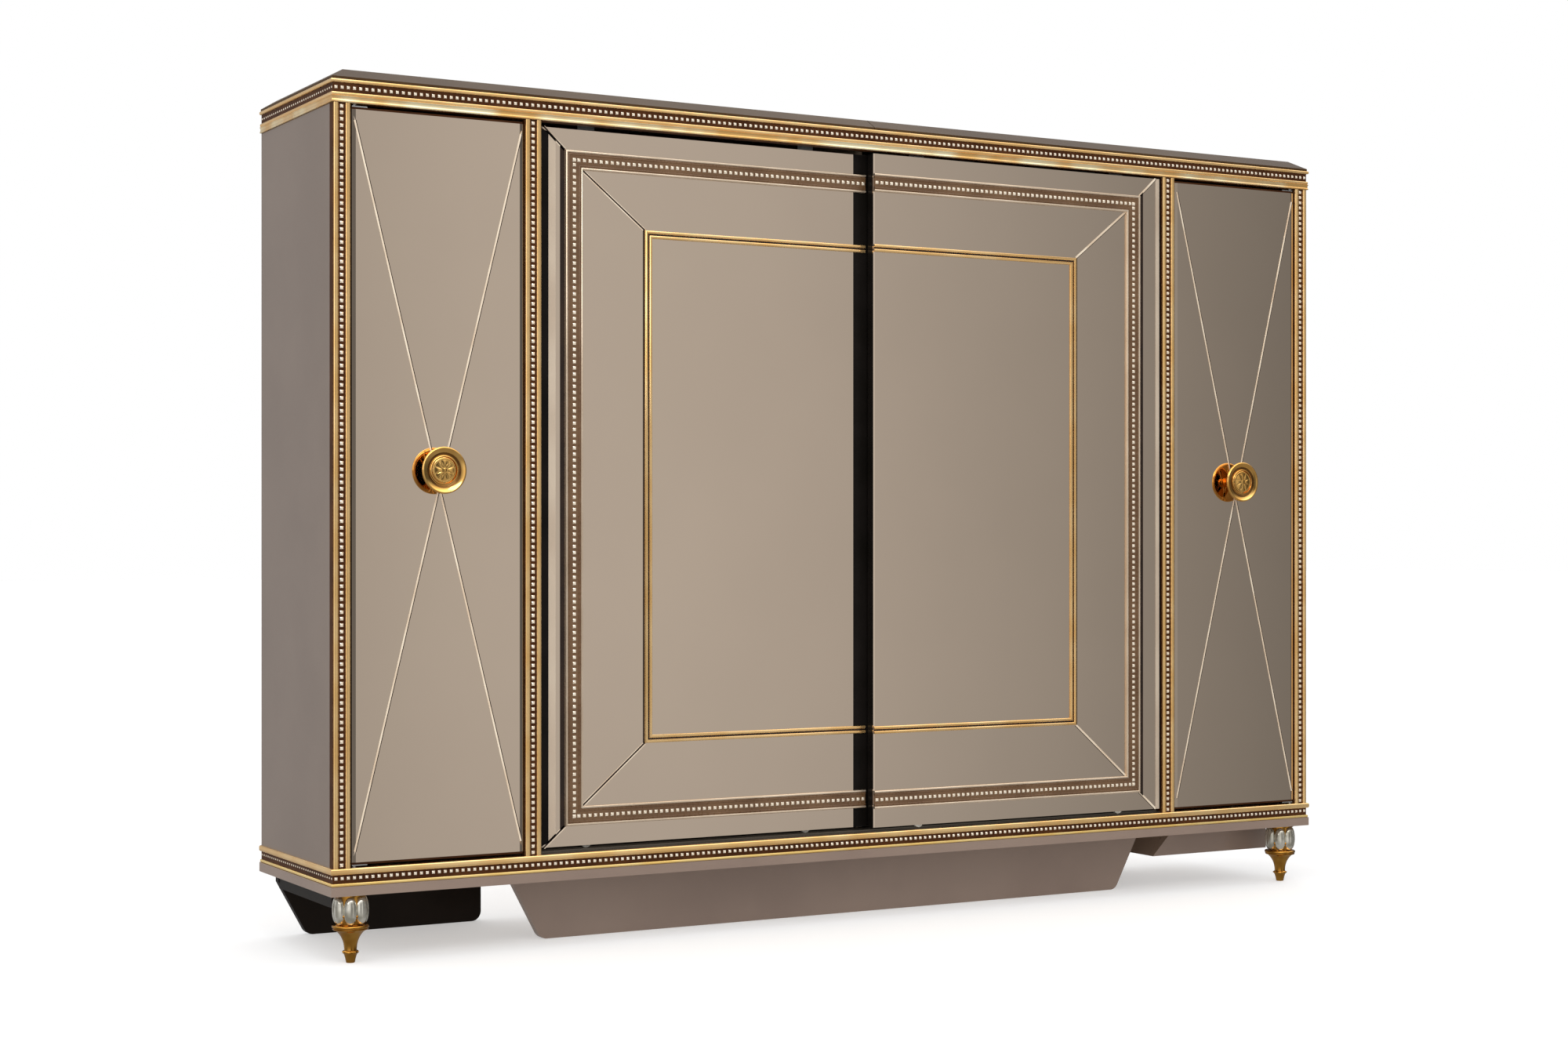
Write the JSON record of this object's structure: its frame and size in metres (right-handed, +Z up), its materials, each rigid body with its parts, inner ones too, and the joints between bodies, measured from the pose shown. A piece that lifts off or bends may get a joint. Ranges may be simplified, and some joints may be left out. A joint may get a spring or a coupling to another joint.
{
  "type": "armoire",
  "caption": "Wide armoire with hinged bronze-mirror doors at the ends, sliding mirror doors in the middle, gold beading with crystal rows, round knobs, turned feet, shelves and hanging rails.",
  "frame": {"origin": "on the floor, at the middle of the whole object's box, knobs included", "axes": "+X along the width to the viewer's right, +Y from front to back, +Z up"},
  "size_m": [3.244, 0.616, 2.29],
  "materials": {
    "taupe_lacquer": "satin lacquered board, warm taupe",
    "dark_lacquer": "satin lacquered board, dark brown",
    "carcass_board": "melamine-faced board, light walnut",
    "gold": "polished gold leaf",
    "crystal": "faceted clear crystal, foil backed",
    "bronze_mirror": "bronze-tinted mirror glass",
    "black_profile": "black anodised",
    "track_metal": "satin anodised",
    "steel": "zinc plated",
    "bush_nylon": "natural nylon"
  },
  "bodies": {
    "root": {"back_panels": "carcass_board", "base_beads": "gold", "base_frame": "dark_lacquer", "bottom_panel": "carcass_board", "bottom_track": "track_metal", "cap_left": "taupe_lacquer", "cap_right": "taupe_lacquer", "center_partition": "carcass_board", "cornice_beads": "gold", "cornice_frame": "dark_lacquer", "crystal_rows": "crystal", "divider_left": "carcass_board", "divider_right": "carcass_board", "feet": "gold", "foot_bulbs": "crystal", "front_skirt": "taupe_lacquer", "hanging_rails": "steel", "pivot_bushes": "bush_nylon", "plinth": "taupe_lacquer", "post_beads": "gold", "post_inner_left": "dark_lacquer", "post_inner_right": "dark_lacquer", "post_outer_left": "dark_lacquer", "post_outer_right": "dark_lacquer", "rail_sockets": "steel", "rear_skirts": "dark_lacquer", "shelves": "carcass_board", "side_panel_left": "taupe_lacquer", "side_panel_right": "taupe_lacquer", "top_panel": "carcass_board", "top_track": "track_metal", "under_rails": "dark_lacquer"},
    "door_left": {"door_left_board": "dark_lacquer", "door_left_knob": "gold", "door_left_medallion": "gold", "door_left_mirror": "bronze_mirror", "door_left_pivots": "steel"},
    "door_right": {"door_right_board": "dark_lacquer", "door_right_knob": "gold", "door_right_medallion": "gold", "door_right_mirror": "bronze_mirror", "door_right_pivots": "steel"},
    "sliding_left": {"sliding_left_board": "dark_lacquer", "sliding_left_crystals": "crystal", "sliding_left_fittings": "steel", "sliding_left_inner_frame": "gold", "sliding_left_mirror": "bronze_mirror", "sliding_left_moulding": "taupe_lacquer", "sliding_left_stile": "black_profile"},
    "sliding_left_wheel_a": {"sliding_left_wheel_a": "bush_nylon"},
    "sliding_left_wheel_b": {"sliding_left_wheel_b": "bush_nylon"},
    "sliding_right": {"sliding_right_board": "dark_lacquer", "sliding_right_crystals": "crystal", "sliding_right_fittings": "steel", "sliding_right_inner_frame": "gold", "sliding_right_mirror": "bronze_mirror", "sliding_right_moulding": "taupe_lacquer", "sliding_right_stile": "black_profile"},
    "sliding_right_wheel_a": {"sliding_right_wheel_a": "bush_nylon"},
    "sliding_right_wheel_b": {"sliding_right_wheel_b": "bush_nylon"}
  },
  "joints": [
    {"name": "left_door_hinge", "type": "hinge", "parent": "root", "child": "door_left", "pos_m": [-1.555, -0.26, 1.223], "axis": [0, 0, -1], "range_deg": [0, 95]},
    {"name": "right_door_hinge", "type": "hinge", "parent": "root", "child": "door_right", "pos_m": [1.555, -0.26, 1.223], "axis": [0, 0, 1], "range_deg": [0, 95]},
    {"name": "left_door_slide", "type": "slide", "parent": "root", "child": "sliding_left", "axis": [1, 0, 0], "range_m": [0, 1.012]},
    {"name": "right_door_slide", "type": "slide", "parent": "root", "child": "sliding_right", "axis": [-1, 0, 0], "range_m": [0, 1.028]},
    {"name": "left_wheel_a_spin", "type": "hinge", "parent": "sliding_left", "child": "sliding_left_wheel_a", "pos_m": [-0.194, -0.2085, 0.2683], "axis": [0, 1, 0], "continuous": true},
    {"name": "left_wheel_b_spin", "type": "hinge", "parent": "sliding_left", "child": "sliding_left_wheel_b", "pos_m": [-0.88, -0.2085, 0.2683], "axis": [0, 1, 0], "continuous": true},
    {"name": "right_wheel_a_spin", "type": "hinge", "parent": "sliding_right", "child": "sliding_right_wheel_a", "pos_m": [0.16, -0.2515, 0.2683], "axis": [0, -1, 0], "continuous": true},
    {"name": "right_wheel_b_spin", "type": "hinge", "parent": "sliding_right", "child": "sliding_right_wheel_b", "pos_m": [0.88, -0.2515, 0.2683], "axis": [0, -1, 0], "continuous": true}
  ],
  "couplings": [
    {"joint": "left_wheel_a_spin", "follows": "left_door_slide", "rad_per_m": 83.333},
    {"joint": "left_wheel_b_spin", "follows": "left_door_slide", "rad_per_m": 83.333},
    {"joint": "right_wheel_a_spin", "follows": "right_door_slide", "rad_per_m": 83.333},
    {"joint": "right_wheel_b_spin", "follows": "right_door_slide", "rad_per_m": 83.333}
  ]
}
